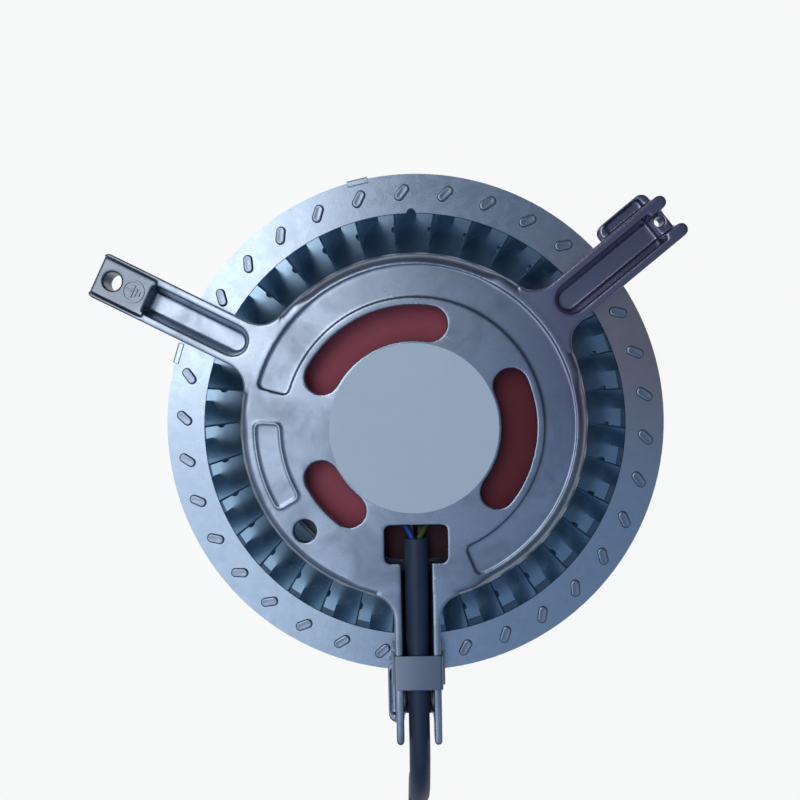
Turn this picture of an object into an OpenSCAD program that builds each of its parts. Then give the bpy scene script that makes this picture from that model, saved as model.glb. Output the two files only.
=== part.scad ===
// Single-inlet centrifugal plug fan with an external-rotor motor.
// The motor hangs inside the wheel, and a cast three-arm spider on the inlet side carries it.
// The axis is Z, the inlet side is up, and the part lies on the back of its wheel at Z = 0.

/* [Wheel] */
// Outer diameter of the wheel
wheel_d = 180; // [172:1:200]
// Inlet diameter inside the flat ring
inlet_d = 152.8; // [148:0.2:158]
// Number of blades
blade_count = 34; // [28:1:36]
// Height of the blades between disc and ring
blade_h = 56; // [50:1:70]
// Sheet thickness of the disc and the ring
sheet_t = 1; // [0.8:0.1:1.6]
// Sheet thickness of the blades
blade_t = 0.8; // [0.6:0.1:1.2]
// Angle that a blade sweeps from its inner to its outer edge
blade_sweep = 6.4; // [4:0.2:9]
// Rise of the blade's arc over its chord
blade_rise = 2.25; // [1:0.05:3]
// Length of the tabs that hold a blade
tab_len = 4.6; // [3:0.1:6]
// Width of a peened tab head
tab_head_w = 3.2; // [2.4:0.1:4]
// Height of a peened tab head
tab_head_h = 0.8; // [0.5:0.1:1.5]
// Angle of the first blade's tab
tab_phase = 8.3; // [0:0.1:10]
// Height of the dish at the middle of the back disc
dish_h = 3.2; // [2:0.1:6]

/* [Motor] */
// Outer diameter of the rotor can
rotor_d = 111; // [104:1:113]
// Wall thickness of the rotor can
can_t = 1.5; // [1:0.1:2]
// Height of the rotor can's rim over the rotor cage
can_over = 0.5; // [0.5:0.1:1.5]
// Outer diameter of the stator core
stator_d = 92; // [80:1:94]
// Radial gap between stator and rotor
air_gap = 0.4; // [0.35:0.05:0.8]
// Height of the lamination stack
stack_h = 25; // [20:1:26]
// Number of stator slots
slot_count = 12; // [8:1:16]
// Shaft diameter
shaft_d = 8; // [6:0.5:9]
// Outer diameter of the bearings
bearing_d = 22; // [20:1:24]
// Width of the bearings
bearing_w = 7; // [6:0.5:8]
// Radial running clearance of the shaft in the bearings
shaft_clear = 0.05; // [0.02:0.01:0.08]
// Height of the hub inside the rotor can
hub_h = 13.5; // [10:0.5:15]
// Number of rivets between disc and can
rivet_count = 6; // [4:1:8]

/* [Spider] */
// Outer diameter of the spider's round body
spider_d = 122; // [118:1:128]
// Thickness of the spider's plate
plate_t = 3.5; // [2.8:0.1:4]
// Depth of the rim below the top face
rim_depth = 11; // [8:0.5:11.5]
// Wall thickness of the rim
rim_t = 3; // [2.5:0.1:4]
// Gap between the wheel's tab heads and the arms
arm_gap = 1.9; // [1.2:0.1:5]
// Height of the arms
arm_h = 10.5; // [10:0.1:13]
// Width of the arms
arm_w = 16.4; // [15.4:0.1:18]
// Thickness of the ribs at their top
rib_t = 2.8; // [2.2:0.1:3.2]
// Thickness of the floor of the arms
arm_floor_t = 2.8; // [2:0.1:2.9]
// Fillet where an arm meets the round body
arm_fillet = 9; // [5:0.5:11]
// Direction of the earthing arm
earth_arm_a = 154; // [150:0.5:158]
// Length of the earthing arm from the axis
earth_arm_len = 122.5; // [120:0.5:130]
// Direction of the plain arm
plain_arm_a = 39.8; // [36:0.2:44]
// Length of the plain arm from the axis
plain_arm_len = 114.6; // [112.6:0.5:122]
// Direction of the cable arm
cable_arm_a = 271.3; // [270:0.1:272]
// Length of the cable arm from the axis
cable_arm_len = 113.3; // [111:0.5:114]
// Diameter of the fixing holes
fixing_d = 6.5; // [5:0.1:7]
// Diameter of the label
label_d = 59; // [50:0.5:60]

/* [Cable] */
// Diameter of the sheath
cable_d = 7.6; // [7:0.1:8]
// Diameter of one lead
lead_d = 2.1; // [1.6:0.1:2.4]
// Thickness of the spring clip
clip_t = 0.6; // [0.4:0.1:0.8]
// Length of the spring clip along the arm
clip_len = 12.5; // [8:0.5:16]

/* [Hidden] */
$fn = 64;
cut = 1;               // overshoot of cutting bodies
touch = 0.1;           // clearance of pieces that are put together

// Levels of the wheel
disc_z = tab_head_h;
ring_z = disc_z + sheet_t + blade_h;
ring_top = ring_z + sheet_t;
dish_z = disc_z + dish_h;
can_z = dish_z + sheet_t;
hub_top = can_z + can_t + hub_h;

// Levels of the spider
arm_z = ring_top + tab_head_h + arm_gap;
plate_top = arm_z + arm_h;
plate_z = plate_top - plate_t;
floor_top = arm_z + arm_floor_t;
rib_top = plate_top - touch / 2;

// Radii of wheel and motor
wheel_r = wheel_d / 2;
inlet_r = inlet_d / 2;
rotor_r = rotor_d / 2;
stator_r = stator_d / 2;
spider_r = spider_d / 2;
blade_in_r = inlet_r + 0.4;
blade_out_r = wheel_r - 2.2;
dish_r = rotor_r + 2.5;
dish_run = 4;
drain_a = 144.5;       // small hole in the back disc
drain_d = 3;
notch_a = 90.8;        // notch in the inlet ring's inner edge
notch_r = 1.6;
clip_places = [162.5, 103];
boss_r = 17;
hub_r = shaft_d / 2 + 4;
tube_wall = 4;
tube_r = bearing_d / 2 + tube_wall;

// Bearing stack on the shaft
end_gap = 0.3;
washer_h = 1.2;
circlip_h = 0.8;
circlip_deep = 0.4;
low_bearing_z = hub_top + washer_h + end_gap;
bore_top = plate_top - 1.6;
shaft_top = bore_top - 0.4;
circlip_z = shaft_top - 0.4 - circlip_h;
top_bearing_z = circlip_z - end_gap - bearing_w;
retainer_h = 0.8;
tube_z = low_bearing_z - retainer_h - 0.5;

// Stator and its insulation, set down from the spider's plate
protector = [7, 12, 2.4];
protector_a = 120;
protector_gap = 1.1;
plate_gap = 4.4;
slot_r = 3.2;
slot_at = stator_r - 9;
wire_clear = 0.3;
turn_h = 7;
cap_wall = 1.2;
cap_gap = 1.5;
cap_top = plate_z - plate_gap;
stack_top = cap_top - cap_wall - protector_gap - protector.z - turn_h - wire_clear;
stack_z = stack_top - stack_h;
cage_h = 2.5;
cage_w = 5;
can_h = stack_top + cage_h + can_over - can_z;
cap_step_z = can_z + can_h + cap_gap;
cap_out_r = stator_r + cap_gap;
cap_in_r = tube_r + cap_gap;
core_in_r = stator_r + air_gap;
can_in_r = rotor_r - can_t;
lead_hole = [27, 33];
lead_hole_w = 14;
rivet_d = 4;
rivet_at = 34;
rivet_head = 7;
rivet_head_h = 1.6;

// Blade arc, nearly radial at the inner point and nearly tangential at the outer point
blade_p0 = [blade_in_r, 0];
blade_p1 = blade_out_r * [cos(blade_sweep), -sin(blade_sweep)];
chord = norm(blade_p1 - blade_p0);
chord_dir = (blade_p1 - blade_p0) / chord;
arc_r = (chord * chord / 4 + blade_rise * blade_rise) / (2 * blade_rise);
arc_c = (blade_p0 + blade_p1) / 2 + (arc_r - blade_rise) * [chord_dir.y, -chord_dir.x];
arc_a0 = atan2(blade_p1.y - arc_c.y, blade_p1.x - arc_c.x);
arc_span = 2 * asin(chord / 2 / arc_r);
tab_at = 0.5;          // share of the arc where the tab sits
tab_a = arc_a0 + tab_at * arc_span;
tab_p = arc_c + arc_r * [cos(tab_a), sin(tab_a)];
blade_a0 = tab_phase - atan2(tab_p.y, tab_p.x);
blade_step = 360 / blade_count;

// Arms: direction, length, end of the floor, fixing hole, start of the end pad, start of the channel
arm_root = 10;         // overlap of an arm with the round body
channel_out = 3.5;     // channel's start outside the round body
prong = 2.2;           // length of the plain arm's ribs past its floor
cable_prong = 8.8;
cable_hole_back = 4.6; // fixing hole behind the end of the floor
plain_hole_back = 2.9;
plain_hole_v = 0.9;    // plain arm's hole beside the middle
plain_hole_d = 3.6;
plain_pad_len = 2.5;   // pad behind the plain arm's hole
fork_w = 7.2;          // gap between the plain arm's rib ends
fork_t = (arm_w - fork_w) / 2;
earth_hole_back = 5.8;
earth_pad_len = 13.6;  // pad behind the earthing arm's hole
pad_sink = 1.2;        // end pads below the ribs
plain_pad_sink = 3.4;
arm_start = spider_r - arm_root;
channel_start = spider_r + channel_out;
earth_hole_u = earth_arm_len - earth_hole_back;
earth_pad_u = earth_hole_u - earth_pad_len;
plain_floor_u = plain_arm_len - prong;
plain_hole_u = plain_floor_u - plain_hole_back;
plain_pad_u = plain_hole_u - plain_pad_len;
cable_floor_u = cable_arm_len - cable_prong;
cable_hole_u = cable_floor_u - cable_hole_back;
pad_top = plate_top - pad_sink;
plain_pad_top = plate_top - plain_pad_sink;
channel_w = arm_w - 2 * rib_t;
channel_draft = 2;     // inward lean of a channel wall
cable_draft = 0.6;
fillet_bite = 0.3;     // how far a root fillet runs into the rim
ear_h = 4.6;
plain_ear_len = 17.5;  // ear behind the fixing hole
cable_ear_len = 15.6;
ear_rim = 3;
ear_deep = 2;
plain_ear = [0.2, 4.4]; // reach past the floor and to the side
cable_ear = [2.6, 2.8];

// Openings in the spider's plate
slot_w = 12;
slot_mid_r = 36.5;
slots = [[81.5, 150.8], [-36.7, 24.2], [208.2, 231.8]];
panel_in_r = 45.2;
panel_margin = 4.6;
panel_out_r = spider_r - panel_margin;
panel_a = [-66.4, 165.5];
panel_deep = 0.8;
frame_in_r = 46.4;
frame_out_r = panel_out_r - 0.6;
frame_a = [177.6, 211.4];
frame_line = 0.6;
frame_h = 0.5;
peep_r = 52.4;
peep_a = 223.4;
peep_d = 8;
window_u = [33.8, 47.2];
window_w = 22;
corner = 2;
label_t = 0.2;

// Cable along its arm, down to the ground and into a flat coil
cable_r = cable_d / 2;
cable_z = floor_top + cable_r + touch;
sheath_u = 39.6;
cable_sides = 10;
coil_lift = 1;
coil_r = 40;
coil_out_r = coil_r + cable_d + 0.6;
coil_in_r = coil_r - cable_d - 0.6;
coil_c = [-41, -222];
coil_z = coil_lift + cable_r;
tie_t = coil_lift - touch;
tie_w = 6;
tie_a = 120;
ferrule_len = 8;
tail_len = 30;
tail_a = 170;
tail_off = 12;
tail_pitch = lead_d + 0.4;
tail_z = lead_d / 2 + touch;
tail_drop = coil_z - tail_z - lead_d / 2;
tail_start_r = coil_in_r + cable_r - sqrt(cable_r * cable_r - tail_drop * tail_drop) - touch;
lead_out = 1.35;
lead_side = 1.8;
lead_sides = 8;

// Stretch of the cable that isn't coiled: x, y and drop below the run along the arm
cable_route = [
    [0.9, -39.6, 0], [1.3, -56, 0], [1.7, -74, 0], [2.1, -92, 0], [2.5, -108, 0],
    [2.7, -116, 0.2], [2.8, -123, 1.5], [2.9, -130, 4.6], [3, -136, 9.4], [3, -141, 16],
    [3, -144, 24], [3, -145, 32], [3, -146, 40], [3, -149, 48], [3, -154, 54.4],
    [3, -160, 59.2], [3, -167, 62.2], [3, -175, 63.4], [3, -190, 63.4], [3, -206, 63.4],
    [3, -222, 63.4]
];
route_drop = cable_route[len(cable_route) - 1].z;
route = [for (p = cable_route) [p.x, p.y, cable_z - p.z * (cable_z - coil_z) / route_drop]];

function polar(r, a) = [r * cos(a), r * sin(a)];

module tube(r_out, r_in, h) {
    rotate_extrude() translate([r_in, 0]) square([r_out - r_in, h]);
}

module sector(r_in, r_out, a0, a1, h) {
    rotate([0, 0, a0]) rotate_extrude(angle = a1 - a0) translate([r_in, 0]) square([r_out - r_in, h]);
}

// Annular sector with round corners
module round_sector(r_in, r_out, a0, a1, rho, h) {
    turn_in = asin(rho / (r_in + rho));
    turn_out = asin(rho / (r_out - rho));
    sector(r_in, r_out, a0 + turn_in, a1 - turn_in, h);
    sector(r_in + rho, r_out - rho, a0, a1, h);
    corner_r = rho - touch / 2;
    for (a = [a0 + turn_in, a1 - turn_in]) translate(polar(r_in + rho, a)) cylinder(r = corner_r, h = h);
    for (a = [a0 + turn_out, a1 - turn_out]) translate(polar(r_out - rho, a)) cylinder(r = corner_r, h = h);
}

// Kidney slot between two end centres
module kidney(r, w, a0, a1, h) {
    sector(r - w / 2, r + w / 2, a0, a1, h);
    for (a = [a0, a1]) translate(polar(r, a)) cylinder(d = w - touch, h = h);
}

module round_rect(size, rho) {
    translate([rho, 0]) square([size.x - 2 * rho, size.y]);
    translate([0, rho]) square([size.x, size.y - 2 * rho]);
    for (x = [rho, size.x - rho], y = [rho, size.y - rho]) translate([x, y]) circle(r = rho);
}

// Round tube swept along a list of points, with flat ends
function unit(v) = v / norm(v);
function path_dir(path, i) = unit(path[min(i + 1, len(path) - 1)] - path[max(i - 1, 0)]);
function path_ring(path, i, r, sides) =
    let (t = path_dir(path, i), s = unit(cross(t, [0, t.z, -t.y])), w = unit(cross(t, s)))
    [for (k = [0 : sides - 1]) let (a = k * 360 / sides) path[i] + r * (cos(a) * s + sin(a) * w)];

module swept(path, r, sides) {
    rings = len(path);
    last = (rings - 1) * sides;
    polyhedron(
        points = [for (i = [0 : rings - 1]) each path_ring(path, i, r, sides)],
        faces = concat(
            [[for (k = [0 : sides - 1]) k]],
            [[for (k = [sides - 1 : -1 : 0]) last + k]],
            [for (i = [0 : rings - 2], k = [0 : sides - 1]) each let (a = i * sides + k,
                b = i * sides + (k + 1) % sides, c = b + sides, d = a + sides) [[a, d, b], [b, d, c]]]));
}

// Outline of an arm with its root fillets and rounded rib ends
module arm_outline(length, end_t, square_end) {
    tip = length - end_t / 2;
    rib_v = (arm_w - end_t) / 2;
    centre_v = arm_w / 2 + arm_fillet;
    root_r = spider_r - fillet_bite;
    centre_u = sqrt(pow(root_r + arm_fillet, 2) - centre_v * centre_v);
    translate([arm_start, -arm_w / 2]) square([tip - arm_start, arm_w]);
    for (side = [-1, 1]) translate([tip, side * rib_v]) circle(d = end_t);
    if (square_end) translate([tip - cut, -rib_v]) square([end_t / 2 + cut, 2 * rib_v]);
    for (side = [0, 1]) mirror([0, side]) difference() {
        polygon([[arm_start, 0], [centre_u, 0], [centre_u, arm_w / 2], [centre_u, centre_v],
            root_r / (root_r + arm_fillet) * [centre_u, centre_v]]);
        translate([centre_u, centre_v]) circle(r = arm_fillet);
    }
}

// Channel with leaning walls, open upwards, with a conical inner end
module channel(u0, u1, draft) {
    depth = arm_h - arm_floor_t;
    top_w = channel_w / 2;
    foot_w = top_w - draft;
    translate([u0 + top_w, 0, floor_top]) {
        rotate([90, 0, 90]) linear_extrude(u1 - u0 - top_w)
            polygon([[-foot_w, 0], [foot_w, 0], [top_w, depth], [top_w, depth + cut],
                [-top_w, depth + cut], [-top_w, depth]]);
        cylinder(r1 = foot_w, r2 = top_w, h = depth);
        translate([0, 0, depth]) cylinder(r = top_w, h = cut);
    }
}

// Side ear of an arm with a shallow pocket
module ear(u0, u1, reach) {
    translate([u0, 0, arm_z]) difference() {
        linear_extrude(ear_h) round_rect([u1 - u0, arm_w / 2 + reach], ear_rim);
        translate([ear_rim, arm_w / 2 - cut, ear_h - ear_deep]) linear_extrude(ear_deep + cut)
            round_rect([u1 - u0 - 2 * ear_rim, reach - 0.8 + cut], ear_rim / 2.2);
    }
}

module arm(a, length, end_t, square_end) {
    rotate([0, 0, a]) translate([0, 0, arm_z]) linear_extrude(rib_top - arm_z)
        arm_outline(length, end_t, square_end);
}

// Cast aluminium spider
module spider() color("silver") {
    shoulder = 3;
    difference() {
        union() {
            rotate_extrude() {
                translate([0, plate_z]) square([spider_r - shoulder, plate_t]);
                translate([spider_r - rim_t, plate_top - rim_depth]) square([rim_t, rim_depth - shoulder]);
                translate([spider_r - shoulder, plate_top - shoulder]) intersection() {
                    circle(r = shoulder);
                    square(shoulder);
                }
            }
            translate([0, 0, tube_z]) cylinder(r = tube_r, h = plate_z + cut - tube_z);
            arm(earth_arm_a, earth_arm_len, rib_t, true);
            arm(plain_arm_a, plain_arm_len, fork_t, false);
            arm(cable_arm_a, cable_arm_len, rib_t, false);
            rotate([0, 0, plain_arm_a])
                ear(plain_hole_u - plain_ear_len, plain_floor_u + plain_ear.x, plain_ear.y);
            rotate([0, 0, cable_arm_a]) mirror([0, 1])
                ear(cable_hole_u - cable_ear_len, cable_floor_u + cable_ear.x, cable_ear.y);
            translate([0, 0, plate_top - frame_h]) difference() {
                round_sector(frame_in_r, frame_out_r, frame_a[0], frame_a[1], corner, 2 * frame_h);
                translate([0, 0, frame_h]) round_sector(frame_in_r + frame_line, frame_out_r - frame_line,
                    frame_a[0] + frame_line, frame_a[1] - frame_line, corner - frame_line / 2, cut);
            }
        }
        // Bearing bore, closed at the top
        translate([0, 0, tube_z - cut]) cylinder(d = bearing_d, h = bore_top - tube_z + cut);
        // Cooling slots, sunk panel and peep hole
        for (s = slots) translate([0, 0, plate_z - cut])
            kidney(slot_mid_r, slot_w, s[0], s[1], plate_t + 2 * cut);
        translate([0, 0, plate_top - panel_deep])
            round_sector(panel_in_r, panel_out_r, panel_a[0], panel_a[1], corner, panel_deep + cut);
        translate(concat(polar(peep_r, peep_a), plate_z - cut)) cylinder(d = peep_d, h = plate_t + 2 * cut);
        // Earthing arm: channel, end pad between low rims, fixing hole
        rotate([0, 0, earth_arm_a]) {
            channel(channel_start, earth_pad_u, channel_draft);
            translate([earth_pad_u - cut, -arm_w / 2 + rib_t / 2, pad_top])
                cube([earth_arm_len - earth_pad_u + 2 * cut, arm_w - rib_t, cut + plate_top - pad_top]);
            translate([earth_hole_u, 0, arm_z - cut]) cylinder(d = fixing_d, h = arm_h + 2 * cut);
        }
        // Plain arm: channel, short end pad, gap between the rib ends
        rotate([0, 0, plain_arm_a]) {
            channel(channel_start, plain_pad_u, channel_draft);
            translate([plain_pad_u - cut, -fork_w / 2, plain_pad_top])
                cube([plain_arm_len, fork_w, arm_h]);
            translate([plain_floor_u, -fork_w / 2, arm_z - cut])
                cube([2 * prong, fork_w, arm_h + 2 * cut]);
            translate([plain_hole_u, plain_hole_v, arm_z - cut])
                cylinder(d = plain_hole_d, h = arm_h + 2 * cut);
        }
        // Cable arm: window over the leads, cable channel, gap between the rib ends
        rotate([0, 0, cable_arm_a]) {
            translate([window_u[0], -window_w / 2, plate_z - cut])
                linear_extrude(plate_t + 2 * cut) round_rect([window_u[1] - window_u[0], window_w], corner);
            channel(window_u[1] - channel_w, cable_floor_u + cut, cable_draft);
            translate([cable_floor_u, -channel_w / 2, arm_z - cut])
                cube([cable_arm_len, channel_w, arm_h + 2 * cut]);
            translate([cable_hole_u, 0, arm_z - cut]) cylinder(d = fixing_d, h = arm_floor_t + 2 * cut);
        }
    }
}

// Round type plate, bare
module label() color("white") {
    translate([0, 0, plate_top]) cylinder(d = label_d, h = label_t);
}

// Laminated stator core with open slots
module stator_core() color("gray") {
    translate([0, 0, stack_z]) linear_extrude(stack_h) difference() {
        circle(r = stator_r);
        circle(r = tube_r);
        for (i = [0 : slot_count - 1]) rotate(i * 360 / slot_count) {
            translate([slot_at, 0]) circle(r = slot_r);
            translate([slot_at, -1]) square([stator_r - slot_at + cut, 2]);
        }
    }
}

// Copper windings: bars in the slots and end turns over and under the core
module windings() color("peru") {
    bar_r = slot_r - wire_clear;
    for (i = [0 : slot_count - 1]) rotate([0, 0, i * 360 / slot_count])
        translate([slot_at, 0, stack_z - cut]) cylinder(r = bar_r, h = stack_h + 2 * cut);
    for (z = [stack_z - turn_h - wire_clear, stack_top + wire_clear]) translate([0, 0, z])
        tube(slot_at + bar_r + 1, slot_at - bar_r - 8, turn_h);
}

// Insulating cap of the upper end turns, seen through the slots
module upper_insulation() color("firebrick") {
    skirt_r = stator_r - cap_gap;
    difference() {
        rotate_extrude() {
            translate([cap_in_r, cap_top - cap_wall]) square([cap_out_r - cap_in_r, cap_wall]);
            translate([cap_out_r - cap_wall, cap_step_z]) square([cap_wall, cap_top - cap_step_z]);
            translate([skirt_r - cap_wall, cap_step_z]) square([cap_out_r - skirt_r + cap_wall, cap_wall]);
            translate([skirt_r - cap_wall, stack_top])
                square([cap_wall, cap_step_z - stack_top + cap_wall]);
            translate([cap_in_r, stack_top]) square([cap_wall, cap_top - stack_top]);
        }
        rotate([0, 0, cable_arm_a]) translate([lead_hole[0], -lead_hole_w / 2, cap_top - cap_wall - cut])
            cube([lead_hole[1] - lead_hole[0], lead_hole_w, cap_wall + 2 * cut]);
    }
}

module lower_insulation() color("firebrick") {
    skirt_r = stator_r - cap_gap;
    cap_h = turn_h + 2 * wire_clear + cap_wall;
    translate([0, 0, stack_z - cap_h]) {
        tube(skirt_r, cap_in_r, cap_wall);
        tube(skirt_r, skirt_r - cap_wall, cap_h);
        tube(cap_in_r + cap_wall, cap_in_r, cap_h);
    }
}

// Thermal protector on the upper end turns
module thermal_protector() color("black") {
    rotate([0, 0, protector_a]) translate([slot_at - 8, -protector.y / 2, stack_top + wire_clear + turn_h])
        cube(protector);
}

// Shielded ball bearing as one ring with sunk shields
module bearing(z) {
    bore_r = shaft_d / 2 + shaft_clear;
    ring_w = 2;
    sink = 0.6;
    translate([0, 0, z]) difference() {
        tube(bearing_d / 2, bore_r, bearing_w);
        for (at = [-cut, bearing_w - sink]) translate([0, 0, at])
            tube(bearing_d / 2 - ring_w, bore_r + ring_w, sink + cut);
    }
}

module upper_bearing() color("lightsteelblue") bearing(top_bearing_z);

module lower_bearing() color("lightsteelblue") bearing(low_bearing_z);

module bearing_spacer() color("slategray") {
    z = low_bearing_z + bearing_w;
    translate([0, 0, z]) tube(bearing_d / 2, bearing_d / 2 - 1.4, top_bearing_z - z);
}

module bearing_retainer() color("dimgray") {
    translate([0, 0, low_bearing_z - retainer_h])
        sectioned_ring(bearing_d / 2, bearing_d / 2 - 1.5, retainer_h);
}

// Open ring, as a circlip is
module sectioned_ring(r_out, r_in, h) {
    sector(r_in, r_out, 20, 340, h);
}

module shaft() color("gainsboro") {
    difference() {
        translate([0, 0, can_z]) cylinder(d = shaft_d, h = shaft_top - can_z);
        translate([0, 0, circlip_z]) tube(shaft_d, shaft_d / 2 - circlip_deep, circlip_h);
    }
}

module shaft_circlip() color("dimgray") {
    translate([0, 0, circlip_z]) sectioned_ring(shaft_d / 2 + 2, shaft_d / 2 - circlip_deep, circlip_h);
}

module wave_washer() color("lightgray") {
    translate([0, 0, hub_top]) tube(shaft_d / 2 + 3.5, shaft_d / 2 + 0.4, washer_h);
}

// Deep-drawn rotor can with its hub and the boss at its back
module rotor_can() color("darkgray") {
    difference() {
        union() {
            translate([0, 0, can_z]) tube(rotor_r, can_in_r, can_h);
            translate([0, 0, can_z]) cylinder(r = can_in_r + can_t / 2, h = can_t);
            cylinder(r = boss_r, h = can_z + can_t);
            translate([0, 0, can_z]) cylinder(r = hub_r, h = hub_top - can_z);
        }
        translate([0, 0, can_z]) cylinder(d = shaft_d, h = hub_top);
        rivet_ring() translate([0, 0, can_z - cut]) cylinder(d = rivet_d, h = can_t + 2 * cut);
    }
}

module rotor_core() color("dimgray") {
    translate([0, 0, stack_z]) tube(can_in_r, core_in_r, stack_h);
}

// Short-circuit rings at both ends of the rotor core
module rotor_cage() color("whitesmoke") {
    for (z = [stack_z - cage_h, stack_top]) translate([0, 0, z])
        tube(core_in_r + cage_w, core_in_r + 0.2, cage_h);
}

module rivet_ring() {
    for (i = [0 : rivet_count - 1]) rotate([0, 0, i * 360 / rivet_count])
        translate([rivet_at, 0, 0]) children();
}

// Places of the blades
module blade_ring() {
    for (i = [0 : blade_count - 1]) rotate([0, 0, blade_a0 + i * blade_step]) children();
}

// Frame on a blade's tab, with Y along the tab
module at_tab() {
    translate([tab_p.x, tab_p.y, 0]) rotate([0, 0, tab_a]) children();
}

module tab_slots(z) {
    blade_ring() at_tab() translate([-blade_t / 2 - touch, -tab_len / 2 - touch, z - cut])
        cube([blade_t + 2 * touch, tab_len + 2 * touch, sheet_t + 2 * cut]);
}

// Dished back disc with a tab slot for each blade
module back_disc() color("lightslategray") {
    bore_r = boss_r + touch;
    difference() {
        rotate_extrude() polygon([[bore_r, dish_z], [dish_r, dish_z], [dish_r + dish_run, disc_z],
            [wheel_r, disc_z], [wheel_r, disc_z + sheet_t], [dish_r + dish_run, disc_z + sheet_t],
            [dish_r, can_z], [bore_r, can_z]]);
        tab_slots(disc_z);
        rivet_ring() translate([0, 0, dish_z - cut]) cylinder(d = rivet_d, h = sheet_t + 2 * cut);
        rotate([0, 0, drain_a]) translate([inlet_r - 3.5, 0, disc_z - cut])
            cylinder(d = drain_d, h = sheet_t + 2 * cut);
    }
}

// Rivets that join the disc to the rotor can
module disc_rivets() color("silver") {
    rivet_ring() {
        translate([0, 0, dish_z]) cylinder(d = rivet_d, h = sheet_t + can_t);
        translate([0, 0, dish_z - rivet_head_h])
            cylinder(d1 = rivet_head - 2, d2 = rivet_head, h = rivet_head_h);
        translate([0, 0, can_z + can_t]) cylinder(d1 = rivet_head, d2 = rivet_head - 2, h = rivet_head_h);
    }
}

// Rounded peened head over a tab
module tab_head(z) {
    half = tab_len / 2 - tab_head_w / 2 + 0.9;
    translate([0, 0, z]) linear_extrude(tab_head_h) {
        for (side = [-1, 1]) translate([0, side * half]) circle(d = tab_head_w);
        translate([-tab_head_w / 2, -half]) square([tab_head_w, 2 * half]);
    }
}

// One curved blade with a tab at each end
module blade() {
    z0 = disc_z + sheet_t;
    translate([arc_c.x, arc_c.y, z0]) rotate([0, 0, arc_a0]) rotate_extrude(angle = arc_span)
        translate([arc_r - blade_t / 2, 0]) square([blade_t, blade_h]);
    at_tab() {
        for (z = [disc_z, ring_z]) translate([-blade_t / 2, -tab_len / 2, z - touch])
            cube([blade_t, tab_len, sheet_t + 2 * touch]);
        tab_head(0);
        tab_head(ring_top);
    }
}

module blades() color("cadetblue") blade_ring() blade();

// Flat inlet ring with a tab slot for each blade and a small notch
module inlet_ring() color("lightgray") {
    difference() {
        translate([0, 0, ring_z]) tube(wheel_r, inlet_r, sheet_t);
        tab_slots(ring_z);
        rotate([0, 0, notch_a]) translate([inlet_r, 0, ring_z - cut])
            cylinder(r = notch_r, h = sheet_t + 2 * cut);
    }
}

// Folded balance clips pushed over the ring's outer edge
module balance_clips() color("silver") {
    leaf = 0.6;
    grip = 3.4;
    lip = wheel_r - blade_out_r - blade_t / 2 - 3 * touch;
    wide = 7;
    for (a = clip_places) rotate([0, 0, a]) translate([wheel_r - grip, -wide / 2, 0]) {
        translate([0, 0, ring_top]) cube([grip + leaf, wide, leaf]);
        translate([grip - lip, 0, ring_z - leaf]) cube([lip + leaf, wide, leaf]);
        translate([grip, 0, ring_z - leaf]) cube([leaf, wide, sheet_t + 2 * leaf]);
    }
}

// Spring clip across the cable arm
module cable_clip() color("darkkhaki") {
    u0 = cable_hole_u - 19.6;
    half = arm_w / 2;
    leg = rib_top - arm_z - ear_h - 2 * touch;
    foot = 1.2;
    rotate([0, 0, cable_arm_a]) translate([u0, 0, 0]) {
        translate([0, -half - clip_t, rib_top]) cube([clip_len, arm_w + 2 * clip_t, clip_t]);
        for (side = [0, 1]) mirror([0, side]) {
            translate([0, half, rib_top - leg]) cube([clip_len, clip_t, leg]);
            translate([0, half, rib_top - leg]) cube([clip_len, foot + clip_t, clip_t]);
        }
    }
}

// Lead from the insulating cap up into the end of the sheath
module lead(v_in, v_out, z_out) {
    rest_z = cap_top + lead_d / 2 + touch;
    end_z = cable_z + z_out;
    points = [[27.6, v_in, cap_top - cap_wall], [29.2, v_in, rest_z - 0.7], [31.4, v_in, rest_z],
        [34.8, (v_in + v_out) / 2, (rest_z + end_z) / 2], [sheath_u - lead_out, v_out, end_z],
        [sheath_u - touch, v_out, end_z]];
    along = [cos(cable_arm_a), sin(cable_arm_a), 0];
    across = [-along.y, along.x, 0];
    swept([for (p = points) p.x * along + p.y * across + [0, 0, p.z]], lead_d / 2, lead_sides);
}
module blue_lead() color("royalblue") lead(-3 * lead_side, -lead_out, lead_out);
module brown_lead() color("saddlebrown") lead(-lead_side, -lead_out, -lead_out);
module black_lead() color("black") lead(lead_side, lead_out, -lead_out);
module earth_lead() color("yellowgreen") lead(3 * lead_side, lead_out, lead_out);

module cable() color("darkslategray") swept(route, cable_r, cable_sides);

// Outer shape of the flat coil
module cable_coil() color("darkslategray") {
    translate([coil_c.x, coil_c.y, coil_lift]) rotate_extrude() {
        translate([coil_in_r + cable_r, 0]) square([coil_out_r - coil_in_r - cable_d, cable_d]);
        for (r = [coil_in_r + cable_r, coil_out_r - cable_r]) translate([r, cable_r]) circle(r = cable_r);
    }
}

// Band round the coil
module coil_tie() color("dimgray") {
    span = coil_out_r - coil_in_r + 2 * touch;
    at = coil_r - span / 2;
    translate(concat(coil_c, 0)) rotate([0, 0, tie_a]) translate([at, -tie_w / 2, 0]) difference() {
        translate([-tie_t - touch, 0, 0])
            cube([span + 2 * (tie_t + touch), tie_w, cable_d + 2 * coil_lift]);
        translate([-touch, -cut, tie_t]) cube([span + 2 * touch, tie_w + 2 * cut, cable_d + 2 * touch]);
    }
}

// Stripped ends of the leads inside the coil, lying on the ground
module at_tail(i) {
    y = tail_off + i * tail_pitch;
    x = -sqrt(pow(tail_start_r, 2) - pow(y + lead_d / 2, 2));
    translate(concat(coil_c, tail_z)) rotate([0, 0, tail_a]) translate([x, y, 0])
        rotate([0, 90, 0]) children();
}

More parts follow.
